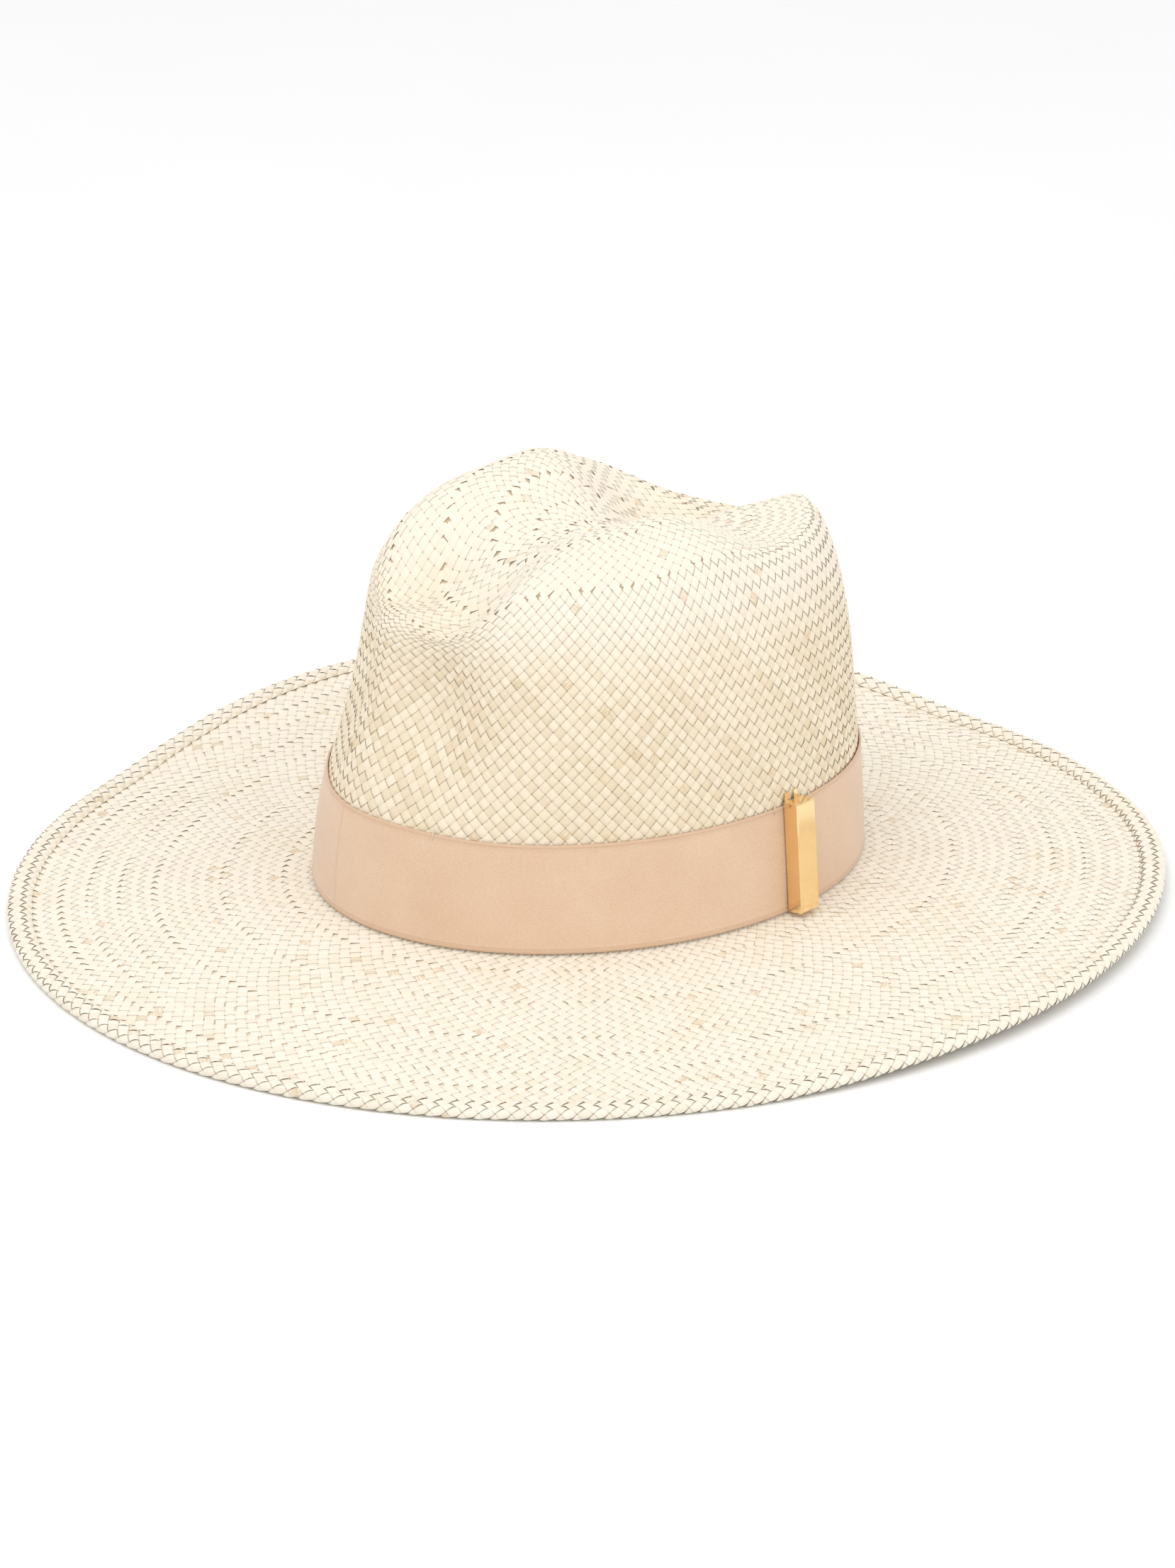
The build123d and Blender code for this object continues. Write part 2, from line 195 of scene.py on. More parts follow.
def edge_surface(angle, around):
    """Round the braided edge: 0 on its inner top, 1 on its inner underside."""
    radius = oval_radius(angle, BRIM_WIDTH - EDGE_WIDTH + np.interp(around, EDGE_EVEN, EDGE_OUT))
    z = np.interp(around, EDGE_EVEN, EDGE_Z) + lift(angle)
    return np.stack([radius * np.sin(angle), -radius * np.cos(angle), z], -1)


def normals(surface, angle, way):
    """Unit normals that point out of the hat, by small steps on the surface."""
    turn, step = 0.002, 0.02 if surface is edge_surface else 0.0002
    along = surface(angle + turn, way) - surface(angle - turn, way)
    down = surface(angle, way + step) - surface(angle, np.maximum(way - step, 0))
    normal = np.cross(down, along)
    return normal / np.maximum(np.linalg.norm(normal, axis=-1, keepdims=True), 1e-12)


# ---- meshes ----
def new_piece(name, verts, faces, material):
    """Smooth mesh piece made of quads, which rides on the hat's one body."""
    mesh = bpy.data.meshes.new(name)
    verts = np.asarray(verts, dtype=np.float32)
    faces = np.asarray(faces, dtype=np.int32)
    mesh.vertices.add(len(verts))
    mesh.vertices.foreach_set("co", verts.ravel())
    mesh.loops.add(faces.size)
    mesh.loops.foreach_set("vertex_index", faces.ravel())
    mesh.polygons.add(len(faces))
    mesh.polygons.foreach_set("loop_start", np.arange(len(faces), dtype=np.int32) * faces.shape[1])
    mesh.update(calc_edges=True)
    mesh.validate()
    mesh.polygons.foreach_set("use_smooth", np.full(len(mesh.polygons), True))
    piece = bpy.data.objects.new(name, mesh)
    bpy.context.scene.collection.objects.link(piece)
    piece.data.materials.append(material)
    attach(piece, "root")
    return piece


def point_attribute(piece, name, values):
    kind = "FLOAT" if values.ndim == 1 else "FLOAT_VECTOR"
    layer = piece.data.attributes.new(name, kind, "POINT")
    layer.data.foreach_set("value" if kind == "FLOAT" else "vector", values.astype(np.float32).ravel())


def grid_faces(rows, columns, wrap=False):
    """Quads of a grid of points, rows by columns, that may close on itself across the columns."""
    last = columns if wrap else columns - 1
    row, column = np.meshgrid(np.arange(rows - 1), np.arange(last), indexing="ij")
    a = row * columns + column
    b = row * columns + (column + 1) % columns
    return np.stack([a, b, b + columns, a + columns], -1).reshape(-1, 4)


def strand_tone(identity, salt):
    """Even random number from 0 to 1 for each strand."""
    value = np.sin(identity * 12.9898 + salt * 78.233) * 43758.5453
    return value - np.floor(value)


def weave(surface, start, end, count, pitch, side, depth, along_steps, across_steps, rise, salt,
          closed=False):
    """Diamond cells of plain weave between two ways on a surface: strands that dip under their neighbours.

    count is the number of cells round the hat in each row, and pitch the distance from row to row."""
    rows = max(1, int(round((end - start) / pitch)))
    pitch = (end - start) / rows
    half = pi / count
    row, place = np.meshgrid(np.arange(rows + (1 if closed else 0)), np.arange(count), indexing="ij")
    row, place = row.ravel(), place.ravel()
    parity = (row + (1 if side < 0 else 0)) % 2
    middle_angle = 2 * half * (place + 0.5 * (row % 2))
    middle_way = start + row * pitch
    identity = np.where(parity == 0, place - row // 2, place + (row + 1) // 2) % count
    tone = strand_tone(identity + 1000 * parity, salt)
    jitter = rng.random((3, len(row)))

    long = np.linspace(-STRAND_REACH, STRAND_REACH, along_steps + 1)
    wide = np.linspace(-1, 1, across_steps + 1)
    u, v = np.meshgrid(long, wide, indexing="ij")
    u, v = u.ravel()[None, :], v.ravel()[None, :]
    narrow = STRAND_FILL - STRAND_NARROWING * u ** 2
    width = narrow * (1 + 0.07 * (jitter[0][:, None] - 0.5))
    turn = np.where(parity == 0, 1.0, -1.0)[:, None]
    along, across = 0.5 * u, 0.5 * v * width
    angle = middle_angle[:, None] + half * (along + across)
    way = middle_way[:, None] + pitch * turn * (along - across)
    if closed:
        way = np.clip(way, start, end)
    height = rise * (0.85 + 0.3 * jitter[1][:, None]) * np.cos(pi * u / 2) + DOME * (1 - v ** 2) + depth
    point = surface(angle, way) + side * normals(surface, angle, way) * height[..., None]
    quads = grid_faces(along_steps + 1, across_steps + 1)
    if side < 0:
        quads = quads[:, ::-1]
    per_cell = u.shape[1]
    faces = quads[None] + (np.arange(len(row)) * per_cell)[:, None, None]
    flip = np.broadcast_to((turn.ravel() > 0)[:, None, None], faces.shape)
    faces = np.where(flip, faces, faces[..., ::-1]).reshape(-1, 4)
    lengths = np.broadcast_to(u, angle.shape) * STRAND / 2
    lengths = lengths + 0.01 * jitter[2][:, None] + identity[:, None] * 0.013
    widths = np.broadcast_to(v, angle.shape) * STRAND / 2
    fibre = np.stack([lengths, widths, np.broadcast_to(tone[:, None], angle.shape)], -1)
    cell = np.broadcast_to(jitter[2][:, None], angle.shape)
    return point.reshape(-1, 3), faces, fibre.reshape(-1, 3), cell.ravel()


def woven_piece(name, patches, material, node="straw_body"):
    """One piece of weave made of several patches, with each strand's place and tone kept on its points."""
    points, quads, fibres, cells, first = [], [], [], [], 0
    for point, faces, fibre, cell in patches:
        points.append(point)
        quads.append(faces + first)
        fibres.append(fibre)
        cells.append(cell)
        first += len(point)
    piece = new_piece(name, np.concatenate(points), np.concatenate(quads), material)
    point_attribute(piece, "fibre", np.concatenate(fibres))
    point_attribute(piece, "cell", np.concatenate(cells))
    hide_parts(node)


# ---- materials ----
PAINTED_LIGHT_START, PAINTED_LIGHT_FULL = 0.092, 0.132      # heights between which the crown is painted paler, painted light on its top

class Shader:
    """Short way to write a node material: each call adds a node and links what it is given."""

    def __init__(self, name):
        self.material = bpy.data.materials.new(name)
        self.material.use_nodes = True
        self.tree = self.material.node_tree
        self.tree.nodes.clear()
        self.out = self.tree.nodes.new("ShaderNodeOutputMaterial")
        self.coordinates = self.tree.nodes.new("ShaderNodeTexCoord").outputs["Object"]

    def node(self, kind, settings=None, **sockets):
        made = self.tree.nodes.new("ShaderNode" + kind)
        for key, value in (settings or {}).items():
            setattr(made, key, value)
        for key, value in sockets.items():
            numbered = key[0] == "i" and key[1:].isdigit()
            self.plug(made.inputs[int(key[1:]) if numbered else key.replace("_", " ")], value)
        return made

    def plug(self, socket, value):
        if isinstance(value, bpy.types.NodeSocket):
            self.tree.links.new(value, socket)
        else:
            socket.default_value = value

    def attribute(self, name):
        return self.node("Attribute", {"attribute_name": name})

    def maths(self, operation, a, b=0.0, clamp=False):
        return self.node("Math", {"operation": operation, "use_clamp": clamp}, i0=a, i1=b).outputs[0]

    def noise(self, scale, detail=3.0, roughness=0.55, vector=None):
        made = self.node("TexNoise", None, Scale=scale, Detail=detail, Roughness=roughness)
        self.plug(made.inputs["Vector"], self.coordinates if vector is None else vector)
        return made.outputs[0]

    def stretched(self, vector, scale):
        return self.node("Mapping", None, Vector=vector, Scale=scale).outputs[0]

    def ramp(self, factor, *stops):
        made = self.node("ValToRGB", None, Fac=factor)
        band = made.color_ramp
        while len(band.elements) < len(stops):
            band.elements.new(0.5)
        for element, (place, colour) in zip(band.elements, stops):
            element.position = place
            element.color = (*colour, 1.0)
        return made.outputs[0]

    def mix(self, factor, a, b, blend="MIX"):
        made = self.node("Mix", {"data_type": "RGBA", "blend_type": blend})
        self.plug(made.inputs[0], factor)
        for socket, value in ((made.inputs[6], a), (made.inputs[7], b)):
            self.plug(socket, value if isinstance(value, bpy.types.NodeSocket) else (*value, 1.0))
        return made.outputs[2]

    def bump(self, height, strength, distance):
        return self.node("Bump", None, Height=height, Strength=strength, Distance=distance).outputs[0]

    def finish(self, **sockets):
        surface = self.node("BsdfPrincipled", None, **sockets)
        self.tree.links.new(surface.outputs[0], self.out.inputs["Surface"])
        return self.material


def straw_material(name, light, mid, dark, fleck):
    """Toquilla straw: each strand has its own tone, with fibres along it, painted shade along its sides and
    stray tan flecks.
    The top of the crown is painted paler than its wall, as painted light where it faces up."""
    s = Shader(name)
    fibre = s.attribute("fibre")
    parts = s.node("SeparateXYZ", None, Vector=fibre.outputs["Vector"])
    streaks = s.noise(1.0, 4.0, 0.6, s.stretched(fibre.outputs["Vector"], (260.0, 4200.0, 40.0)))
    broad = s.noise(26.0, 2.0)
    tone = s.maths("ADD", s.maths("MULTIPLY", parts.outputs[2], 0.5), s.maths("MULTIPLY", streaks, 0.5))
    colour = s.ramp(s.maths("ADD", s.maths("MULTIPLY", tone, 0.75), s.maths("MULTIPLY", broad, 0.25)),
                    (0.22, dark), (0.42, mid), (0.66, light))
    # painted shade: each strand's colour darkens towards its sides, where it dips under its neighbours
    side = s.maths("ABSOLUTE", s.maths("MULTIPLY", parts.outputs[1], 2 / STRAND))
    edge = s.maths("MULTIPLY", s.maths("POWER", side, 5.0), 0.35, clamp=True)
    colour = s.mix(edge, colour, dark)
    # painted light: the crown's top is mixed towards a paler straw colour, as if lit more where it faces up
    height = s.node("SeparateXYZ", None, Vector=s.coordinates).outputs[2]
    high = s.node("MapRange", {"interpolation_type": "SMOOTHSTEP"}, Value=height,
                  From_Min=PAINTED_LIGHT_START, From_Max=PAINTED_LIGHT_FULL)
    colour = s.mix(s.maths("MULTIPLY", high.outputs[0], 0.75), colour, (0.925, 0.855, 0.735))
    rare = s.maths("GREATER_THAN", s.attribute("cell").outputs["Fac"], 0.985)
    patch = s.maths("MULTIPLY", rare, s.maths("GREATER_THAN", streaks, 0.5))
    colour = s.mix(s.maths("MULTIPLY", patch, 0.6), colour, fleck)
    bump = s.bump(streaks, 0.35, 0.0003)
    rough = s.maths("ADD", 0.42, s.maths("MULTIPLY", streaks, 0.22))
    return s.finish(Base_Color=colour, Roughness=rough, Normal=bump, Specular_IOR_Level=0.35)


# painted shade: a darker straw colour for what is seen between the strands
def gap_shade_material(name, colour, other):
    s = Shader(name)
    return s.finish(Base_Color=s.mix(s.noise(300.0), colour, other), Roughness=0.9, Specular_IOR_Level=0.05)


def ribbon_material():
    """Blush satin: fine cross threads with a broad soft mottle and a darker woven selvedge."""
    s = Shader("blush_satin")
    place = s.attribute("ribbon")
    parts = s.node("SeparateXYZ", None, Vector=place.outputs["Vector"])
    ribs = s.node("TexWave", {"wave_type": "BANDS", "bands_direction": "Y"}, Vector=place.outputs["Vector"],
                  Scale=420.0, Distortion=1.2, Detail=2.0, Detail_Scale=1.5).outputs[1]
    threads = s.noise(1.0, 3.0, 0.6, s.stretched(place.outputs["Vector"], (900.0, 5200.0, 1.0)))
    crepe = s.noise(900.0, 3.0, 0.6)
    mottle = s.noise(38.0, 3.0)
    colour = s.ramp(s.maths("ADD", s.maths("MULTIPLY", mottle, 0.3), s.maths("MULTIPLY", threads, 0.7)),
                    (0.32, (0.70, 0.475, 0.315)), (0.68, (0.865, 0.645, 0.475)))
    selvedge = s.maths("GREATER_THAN", s.maths("ABSOLUTE", parts.outputs[1]), 0.0178)
    colour = s.mix(s.maths("MULTIPLY", selvedge, 0.45), colour, (0.62, 0.39, 0.24))
    height = s.maths("ADD", s.maths("MULTIPLY", threads, 0.6), s.maths("MULTIPLY", crepe, 0.7))
    bump = s.bump(s.maths("ADD", height, s.maths("MULTIPLY", ribs, 0.12)), 0.55, 0.0005)
    rough = s.maths("ADD", 0.36, s.maths("MULTIPLY", crepe, 0.16))
    return s.finish(Base_Color=colour, Roughness=rough, Normal=bump, Sheen_Weight=0.35, Sheen_Roughness=0.4,
                    Specular_IOR_Level=0.4, Anisotropic=0.4)


def gold_material():
    s = Shader("polished_gold")
    scratch = s.noise(1.0, 4.0, 0.6, s.stretched(s.coordinates, (900.0, 900.0, 60.0)))
    wide = s.noise(90.0, 2.0)
    colour = s.mix(wide, (1.0, 0.77, 0.44), (0.97, 0.69, 0.36))
    rough = s.maths("ADD", 0.06, s.maths("MULTIPLY", scratch, 0.12))
    return s.finish(Base_Color=colour, Metallic=1.0, Roughness=rough, Normal=s.bump(scratch, 0.04, 0.0002))


def leather_material():
    s = Shader("sweat_leather")
    grain = s.node("TexVoronoi", {"feature": "SMOOTH_F1"}, Vector=s.coordinates, Scale=1400.0).outputs[0]
    mottle = s.noise(60.0, 4.0)
    colour = s.mix(mottle, (0.70, 0.54, 0.38), (0.56, 0.41, 0.27))
    return s.finish(Base_Color=colour, Roughness=s.maths("ADD", 0.42, s.maths("MULTIPLY", grain, 0.2)),
                    Normal=s.bump(s.maths("ADD", grain, s.maths("MULTIPLY", mottle, 0.4)), 0.35, 0.0004))


def thread_material(name, light, dark):
    s = Shader(name)
    twist = s.node("TexWave", {"wave_type": "BANDS", "bands_direction": "DIAGONAL"}, Vector=s.coordinates,
                   Scale=900.0, Distortion=1.5, Detail=2.0).outputs[1]
    return s.finish(Base_Color=s.mix(twist, light, dark), Roughness=0.7, Normal=s.bump(twist, 0.5, 0.0002),
                    Sheen_Weight=0.3)


def floor_material():
    s = Shader("floor_paper")
    faint = s.noise(6.0, 2.0)
    return s.finish(Base_Color=s.mix(faint, (0.93, 0.93, 0.93), (0.96, 0.96, 0.96)), Roughness=0.85,
                    Specular_IOR_Level=0.1)


# ---- camera, light and floor ----
CAMERA_AZIMUTH = 60.0
CAMERA_ELEVATION = 23.5       # of the camera, seen from the middle of the rest plane
CAMERA_TILT = 22.43           # how far it looks down
CAMERA_DISTANCE = 1.8
CAMERA_FRAME = 0.4197         # width of the picture at the hat's middle
CAMERA_ASIDE = -0.001
WORLD_LIGHT = 0.88
FLOOR_HALF = 40.0


def view_axes(azimuth, elevation):
    turn, rise = radians(azimuth), radians(elevation)
    back = Vector((sin(turn) * cos(rise), -cos(turn) * cos(rise), sin(rise)))
    right = Vector((cos(turn), sin(turn), 0))
    return right, back.cross(right), back


def place_camera():
    right, _, place = view_axes(CAMERA_AZIMUTH, CAMERA_ELEVATION)
    right, up, back = view_axes(CAMERA_AZIMUTH, CAMERA_TILT)
    data = bpy.data.cameras.new("camera")
    data.sensor_fit = "HORIZONTAL"
    data.sensor_width = 36.0
    data.lens = data.sensor_width * CAMERA_DISTANCE / CAMERA_FRAME
    camera = bpy.data.objects.new("camera", data)
    camera.matrix_world = Matrix((right, up, back)).transposed().to_4x4()
    camera.location = place * CAMERA_DISTANCE + right * CAMERA_ASIDE
    bpy.context.scene.collection.objects.link(camera)
    bpy.context.scene.camera = camera


def area_light(name, size, power, azimuth, elevation, distance, aim=(0, 0, 0.05)):
    data = bpy.data.lights.new(name, "AREA")
    data.shape = "RECTANGLE"
    data.size, data.size_y = size
    data.energy = power
    lamp = bpy.data.objects.new(name, data)
    turn, rise = radians(azimuth), radians(elevation)
    place = Vector((sin(turn) * cos(rise), -cos(turn) * cos(rise), sin(rise))) * distance
    lamp.location = place + Vector(aim)
    lamp.rotation_euler = place.to_track_quat("Z", "Y").to_euler()
    bpy.context.scene.collection.objects.link(lamp)


def stage():
    world = bpy.data.worlds.new("studio")
    bpy.context.scene.world = world
    world.use_nodes = True
    world.node_tree.nodes["Background"].inputs[0].default_value = (1.0, 1.0, 1.0, 1.0)
    world.node_tree.nodes["Background"].inputs[1].default_value = WORLD_LIGHT
    size = FLOOR_HALF
    verts = [(-size, -size, 0), (size, -size, 0), (size, size, 0), (-size, size, 0)]
    mesh = bpy.data.meshes.new("floor")
    mesh.from_pydata(verts, [], [(0, 1, 2, 3)])
    mesh.materials.append(floor_material())
    floor = bpy.data.objects.new("floor", mesh)
    bpy.context.scene.collection.objects.link(floor)
    area_light("key", (1.8, 1.8), 15.0, CAMERA_AZIMUTH - 35, 68, 2.2)
    area_light("fill", (1.6, 1.6), 7.0, CAMERA_AZIMUTH + 50, 35, 2.4)
    bpy.context.scene.view_settings.view_transform = "Standard"


# ---- straw ----
# each zone: way from the tip or out from the crown, and cells round the hat
CROWN_ZONES = ((0.0015, 8), (0.009, 22), (0.020, 40), (0.035, 62), (0.053, 88), (0.0764, 116), (CROWN_WAY, 0))
BRIM_ZONES = ((-0.002, 130), (0.012, 152), (0.034, 182), (0.058, 204), (0.070, 220), (0.081, 234),
              (0.091, 246), (BRIM_WIDTH - EDGE_WIDTH, 0))
PITCH = 0.00236
TOP_DEPTH = -0.55 * MM        # the top strands' middle line, below the straw's outer surface
LOW_DEPTH = 0.95 * MM
BACKING_DEPTH = -0.75 * MM
EDGE_CELLS, EDGE_ROWS = 236, 8
EDGE_DEPTH, EDGE_RISE = -0.1 * MM, 0.50 * MM
EDGE_CORE_DEPTH = 0.35 * MM
EDGE_CORE_SIDES = 24
BAND_STEPS = 480             # points round the bands and the edge's core


def zone_patches(surface, zones, side, depth, steps, rises):
    patches = []
    for (start, count), (end, _), rise in zip(zones, zones[1:], rises):
        patches.append(weave(surface, start, end, count, PITCH, side, depth, *steps, rise=rise,
                             salt=start * 1000))
    return patches


def backing(name, surface, start, end, depth, material):
    """Thin sheet inside the weave, so that no light passes between the strands; its darker colour is painted
    shade seen between them.
    """
    ways = np.linspace(start, end, 90)
    turns = np.linspace(0, 2 * pi, 360, endpoint=False)
    way, angle = np.meshgrid(ways, turns, indexing="ij")
    point = surface(angle, way) + normals(surface, angle, way) * depth
    faces = grid_faces(len(ways), len(turns), wrap=True)
    piece = new_piece(name, point.reshape(-1, 3), faces, material)
    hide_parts("straw_body")


def build_straw():
    fleck = (0.62, 0.42, 0.20)
    straw = straw_material("crown_straw", (0.885, 0.79, 0.62), (0.84, 0.725, 0.54), (0.765, 0.63, 0.435),
                           fleck)
    pale = straw_material("brim_straw", (0.915, 0.845, 0.725), (0.895, 0.82, 0.685), (0.85, 0.76, 0.60),
                          fleck)
    # painted shade: the backings and the edge's core take darker colours than the straw, for the shade
    # between the strands
    crown_gap = gap_shade_material("crown_painted_gap_shade", (0.60, 0.47, 0.30), (0.68, 0.55, 0.37))
    brim_gap = gap_shade_material("brim_painted_gap_shade", (0.82, 0.72, 0.54), (0.86, 0.76, 0.60))
    fine, coarse = (6, 3), (4, 2)
    crown_rises = (TOP_RISE,) * 5 + (WALL_RISE,)
    brim_rises = (BRIM_RISE,) * 7
    tops = zone_patches(crown_surface, CROWN_ZONES, 1, TOP_DEPTH, fine, crown_rises)
    woven_piece("crown_weave_top", tops[:-1], straw)
    woven_piece("crown_weave_wall", tops[-1:], straw)
    inner = zone_patches(crown_surface, CROWN_ZONES, -1, LOW_DEPTH, coarse, crown_rises)
    woven_piece("crown_weave_inside", inner, straw)
    brim = zone_patches(brim_surface, BRIM_ZONES, 1, TOP_DEPTH, fine, brim_rises)
    woven_piece("brim_weave_inner", brim[:4], pale)
    woven_piece("brim_weave_outer", brim[4:], pale)
    under = zone_patches(brim_surface, BRIM_ZONES, -1, LOW_DEPTH, coarse, brim_rises)
    woven_piece("brim_weave_under", under, pale)
    backing("crown_backing", crown_surface, 0.0, CROWN_WAY, BACKING_DEPTH, crown_gap)
    backing("brim_backing", brim_surface, -0.002, BRIM_WIDTH - EDGE_WIDTH, BACKING_DEPTH, brim_gap)
    edge = weave(edge_surface, 0.0, 1.0, EDGE_CELLS, 1.0 / EDGE_ROWS, 1, EDGE_DEPTH, 6, 4, rise=EDGE_RISE,
                 salt=3.0, closed=True)
    woven_piece("edge_braid_weave", [edge], pale, "edge_braid")
    turns = np.linspace(0, 2 * pi, BAND_STEPS, endpoint=False)
    way, angle = np.meshgrid(np.linspace(0, 1, EDGE_CORE_SIDES), turns, indexing="ij")
    core = edge_surface(angle, way) - normals(edge_surface, angle, way) * EDGE_CORE_DEPTH
    faces = grid_faces(EDGE_CORE_SIDES, BAND_STEPS, wrap=True)
    piece = new_piece("edge_braid_core", core.reshape(-1, 3), faces, brim_gap)
    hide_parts("edge_braid")


# ---- bands that follow the crown wall ----
def wall_points(angle, height, grow):
    level = np.clip(height, 0, None) / CROWN_HEIGHT
    spread = (1 - level ** WALL_STEEPNESS) ** (1 / SHOULDER_ROUND)
    point = crown_point(angle, spread, level, grow)
    point[..., 2] = JUNCTION_Z + height
    return point


def wall_band(name, section, node, material, wave=None):
    """Closed band round the crown wall: section lists its (height, grow) corners in order."""
    height = np.array([corner[0] for corner in section])
    grow = np.array([corner[1] for corner in section])
    turns = np.linspace(0, 2 * pi, BAND_STEPS, endpoint=False)
    tall, angle = np.meshgrid(height, turns, indexing="ij")
    out = np.broadcast_to(grow[:, None], angle.shape)
    if wave is not None:
        tall, out = wave(angle, tall, out)
    points = wall_points(angle, tall, out)
    rows = len(section)
    faces = grid_faces(rows, len(turns), wrap=True)
    closing = np.stack([np.arange(len(turns)) + (rows - 1) * len(turns),
                        (np.arange(len(turns)) + 1) % len(turns) + (rows - 1) * len(turns),
                        (np.arange(len(turns)) + 1) % len(turns), np.arange(len(turns))], -1)
    piece = new_piece(name, points.reshape(-1, 3), np.concatenate([faces, closing]), material)
    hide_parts(node)
    return piece, angle, tall


BAND_BOTTOM = 0.0014
BAND_HEIGHT = 0.038
BAND_THICKNESS = 0.0008
BAND_GAP = 0.0002
BAND_LOWERING = 0.8 * MM     # how far the ribbon reaches below the frame's
BAND_RADIUS = 0.093          # mean, for the threads' coordinates
KEEPER_ANGLE = radians(115)
TACK_TURNS = (-6.0, 6.0, 90.0, 180.0, 270.0)


def ribbon_section():
    """Ribbon cut across: a flat face between two slightly thicker woven edges."""
    low, high = BAND_BOTTOM - BAND_LOWERING, BAND_BOTTOM + BAND_HEIGHT
    lip, face, inside = BAND_GAP + BAND_THICKNESS, BAND_GAP + BAND_THICKNESS - 0.15 * MM, BAND_GAP
    section = [(low, inside + 0.2 * MM), (low + 0.1 * MM, lip - 0.15 * MM), (low + 0.5 * MM, lip),
               (low + 1.0 * MM, lip), (low + 1.3 * MM, face)]
    section += [(height, face) for height in np.linspace(low + 3 * MM, high - 3 * MM, 15)]
    section += [(high - 1.3 * MM, face), (high - 1.0 * MM, lip), (high - 0.5 * MM, lip),
                (high - 0.1 * MM, lip - 0.15 * MM), (high, inside + 0.2 * MM), (high - 0.3 * MM, inside),
                (low + 0.3 * MM, inside)]
    return section


def build_ribbon():
    material = ribbon_material()

    def wave(angle, height, out):
        loose = np.sin((height - BAND_BOTTOM) / BAND_HEIGHT * pi)
        ripple = 0.10 * MM * np.sin(angle * 9 + 1.0) * np.sin(angle * 4 + height * 60)
        return height, out + np.clip(loose, 0, 1) * ripple
    piece, angle, height = wall_band("ribbon", ribbon_section(), "hatband", material, wave)
    middle = height - BAND_BOTTOM - BAND_HEIGHT / 2
    place = np.stack([angle * BAND_RADIUS, middle, np.zeros_like(angle)], -1)
    point_attribute(piece, "ribbon", place.reshape(-1, 3))


# ---- sweatband and what is on it ----
SWEAT_HEIGHT = 0.032
SWEAT_OUTSIDE = -(STRAW + 0.3 * MM)
SWEAT_INSIDE = SWEAT_OUTSIDE - 0.9 * MM
TAB_WIDTH = 0.012
TAB_HEIGHT = 0.016
REED_RADIUS = 1.0 * MM
REED_GAP = 0.3 * MM
REED_DROP = 1.1 * MM         # of its middle below the brim's join
STITCHES = 96
STITCH_HALF_TURN = 0.0118
STITCH_RADIUS = 0.24 * MM
TACK_RADIUS = 0.2 * MM
BOW_LOOP = 0.0046            # half the length of one loop
BOW_HALF_HEIGHT = 0.0019


def build_sweatband():
    leather = leather_material()
    top = SWEAT_HEIGHT
    section = [(0.0002, SWEAT_INSIDE), (0.0002, SWEAT_OUTSIDE)]
    section += [(height, SWEAT_OUTSIDE) for height in np.linspace(3 * MM, top - 1 * MM, 8)]
    section += [(top - 0.3 * MM, SWEAT_OUTSIDE - 0.1 * MM), (top, SWEAT_OUTSIDE - 0.45 * MM),
                (top - 0.3 * MM, SWEAT_INSIDE + 0.1 * MM)]
    section += [(height, SWEAT_INSIDE) for height in np.linspace(top - 1 * MM, 3 * MM, 8)]
    section.append((1.5 * MM, SWEAT_INSIDE + 0.25 * MM))

    def wave(angle, height, out):
        ripple = 0.12 * MM * np.sin(angle * 7) * np.clip(height / SWEAT_HEIGHT, 0, 1)
        return height, out + ripple
    piece, _, _ = wall_band("sweatband_leather", section, "sweatband", leather, wave)


def tube(path, radius, sides, closed=False):
    """Points and quads of a round tube through a list of points."""
    path = np.asarray(path)
    ahead = np.roll(path, -1, 0) - np.roll(path, 1, 0) if closed else np.gradient(path, axis=0)
    ahead /= np.linalg.norm(ahead, axis=1, keepdims=True)
    side = np.cross(ahead, (0.05, 0.03, 1.0))
    side /= np.linalg.norm(side, axis=1, keepdims=True)
    lift = np.cross(side, ahead)
    turn = np.linspace(0, 2 * pi, sides, endpoint=False)
    ring = side[:, None] * np.cos(turn)[None, :, None] + lift[:, None] * np.sin(turn)[None, :, None]
    points = path[:, None] + ring * radius
    if closed:
        points = np.concatenate([points, points[:1]])
    return points.reshape(-1, 3), grid_faces(len(points), sides, wrap=True)


def joined(name, shapes, node, material):
    """One piece made of several shapes, each given as its points and quads."""
    points, quads, first = [], [], 0
    for verts, faces in shapes:
        points.append(verts)
        quads.append(faces + first)
        first += len(verts)
    piece = new_piece(name, np.concatenate(points), np.concatenate(quads), material)
    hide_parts(node)
    return piece


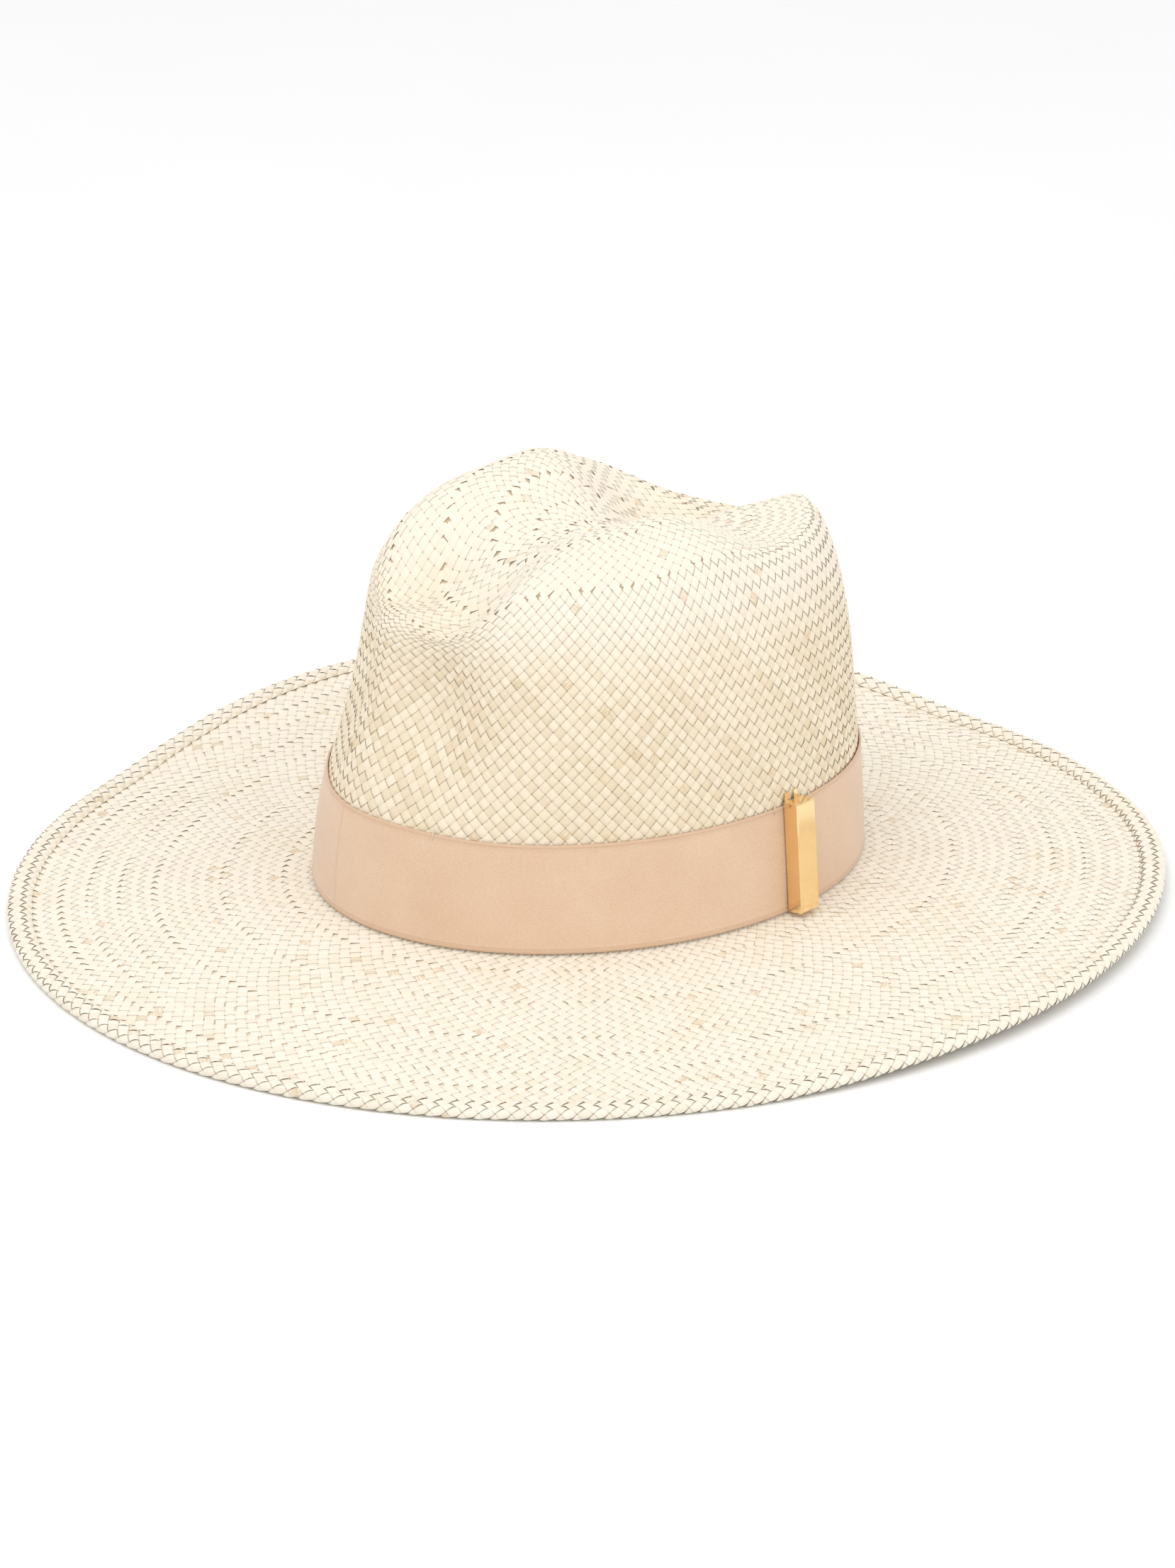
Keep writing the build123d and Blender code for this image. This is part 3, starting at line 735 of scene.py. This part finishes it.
def build_threads():
    cotton = thread_material("cotton_thread", (0.86, 0.78, 0.64), (0.70, 0.60, 0.45))
    reed = thread_material("reed_cord", (0.80, 0.74, 0.62), (0.62, 0.55, 0.43))
    turns = np.linspace(0, 2 * pi, 360, endpoint=False)
    inset = STRAW + REED_GAP + REED_RADIUS
    path = np.stack([oval_radius(turns, -inset) * np.sin(turns), -oval_radius(turns, -inset) * np.cos(turns),
                     np.full_like(turns, JUNCTION_Z - REED_DROP)], -1)
    joined("reed", [tube(path, REED_RADIUS, 10, closed=True)], "sweatband_reed", reed)
    stitches = []
    for step in range(STITCHES):
        middle = 2 * pi * step / STITCHES
        angle = middle + np.linspace(-1, 1, 7) * STITCH_HALF_TURN
        bow = 0.30 * MM * (1 - np.linspace(-1, 1, 7) ** 2)
        rise = 2.0 * MM + 0.4 * MM * np.linspace(-1, 1, 7) * (1 if step % 2 else -1)
        stitches.append(tube(wall_points(angle, rise, SWEAT_INSIDE - bow), STITCH_RADIUS, 6))
    joined("sweatband_stitch_row", stitches, "sweatband_stitches", cotton)
    tacks = []
    for turn in TACK_TURNS:
        angle = KEEPER_ANGLE + radians(turn)
        height = np.linspace(-2.0, 2.0, 9) * MM + BAND_BOTTOM + BAND_HEIGHT
        out = BAND_GAP + BAND_THICKNESS + 0.25 * MM * (1 - np.linspace(-1, 1, 9) ** 4) - 0.1 * MM
        tacks.append(tube(wall_points(np.full(9, angle), height, out), TACK_RADIUS, 6))
    joined("ribbon_tacks", tacks, "band_tacks", cotton)


def build_bow():
    """Small flat bow at the back of the sweatband: two loops and a knot."""
    material = ribbon_material()
    low, high = (Vector(corner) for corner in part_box("sweatband_bow"))
    middle = (low + high) / 2
    shapes = []
    for side in (-1, 1):
        turn = np.linspace(-0.92, 0.92, 25) * pi
        x = side * (BOW_LOOP + BOW_LOOP * np.cos(turn))
        y = middle.y + 0.0004 - 0.0007 * np.sin(turn)
        half = BOW_HALF_HEIGHT * (0.45 + 0.55 * np.sin(np.linspace(0, 1, 25) * pi))
        rows = [np.stack([x, y, middle.z + half * place + side * 0.00012 * x / BOW_LOOP], -1)
                for place in (-1, -0.4, 0.4, 1)]
        shapes.append((np.concatenate(rows), grid_faces(4, 25)))
    turn = np.linspace(0, 2 * pi, 17)[:-1]
    rows = []
    for place in (-1, -0.6, 0, 0.6, 1):
        size = 1.0 - 0.25 * abs(place)
        rows.append(np.stack([0.0012 * size * np.cos(turn), middle.y + 0.0011 * size * np.sin(turn),
                              np.full(16, middle.z + 0.0021 * place)], -1))
    shapes.append((np.concatenate(rows), grid_faces(5, 16, wrap=True)))
    piece = joined("bow", shapes, "sweatband_bow", material)
    thick = piece.modifiers.new("thickness", "SOLIDIFY")
    thick.thickness = 0.3 * MM
    point_attribute(piece, "ribbon", np.zeros((len(piece.data.vertices), 3)))


def build_tab():
    """Blank size tab: a strip of cloth with a hem along its top and its bottom, slightly narrower there."""
    cloth = thread_material("tab_cloth", (0.90, 0.88, 0.84), (0.80, 0.78, 0.73))
    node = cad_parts["size_tab"]
    corners = np.array([node.matrix_world @ vertex.co for vertex in node.data.vertices])
    middle = (corners.min(0) + corners.max(0)) / 2
    normal = np.linalg.svd(corners - corners.mean(0))[2][2]
    normal = normal if normal @ middle < 0 else -normal
    across = np.cross((0.0, 0.0, 1.0), normal)
    across /= np.linalg.norm(across)
    up = np.cross(normal, across)
    wide, tall = np.meshgrid(np.linspace(-1, 1, 25), np.linspace(-1, 1, 33))
    edge = 1 - 0.085 * np.clip((np.abs(tall) - 0.88) / 0.12, 0, 1) ** 2
    hem = 0.10 * MM * np.clip((np.abs(tall) - 0.80) / 0.03, 0, 1)
    loose = 0.05 * MM * np.sin(wide * 2.2) * np.cos(tall * 1.5)
    face = (middle + (wide * edge * TAB_WIDTH / 2)[..., None] * across
            + (tall * TAB_HEIGHT / 2)[..., None] * up
            + (hem + loose - 0.05 * MM)[..., None] * normal)
    shapes = [(face.reshape(-1, 3), grid_faces(33, 25))]
    piece = joined("size_tab_cloth", shapes, "size_tab", cloth)
    thick = piece.modifiers.new("thickness", "SOLIDIFY")
    thick.thickness, thick.offset = 0.3 * MM, 0


def paint_nodes():
    """Give the metal pieces their own finish."""
    gold = gold_material()
    for name in ("keeper_bar", "keeper_prongs"):
        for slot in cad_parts[name].material_slots:
            slot.material = gold


place_camera()
stage()
build_straw()
build_ribbon()
build_sweatband()
build_threads()
build_bow()
build_tab()
paint_nodes()
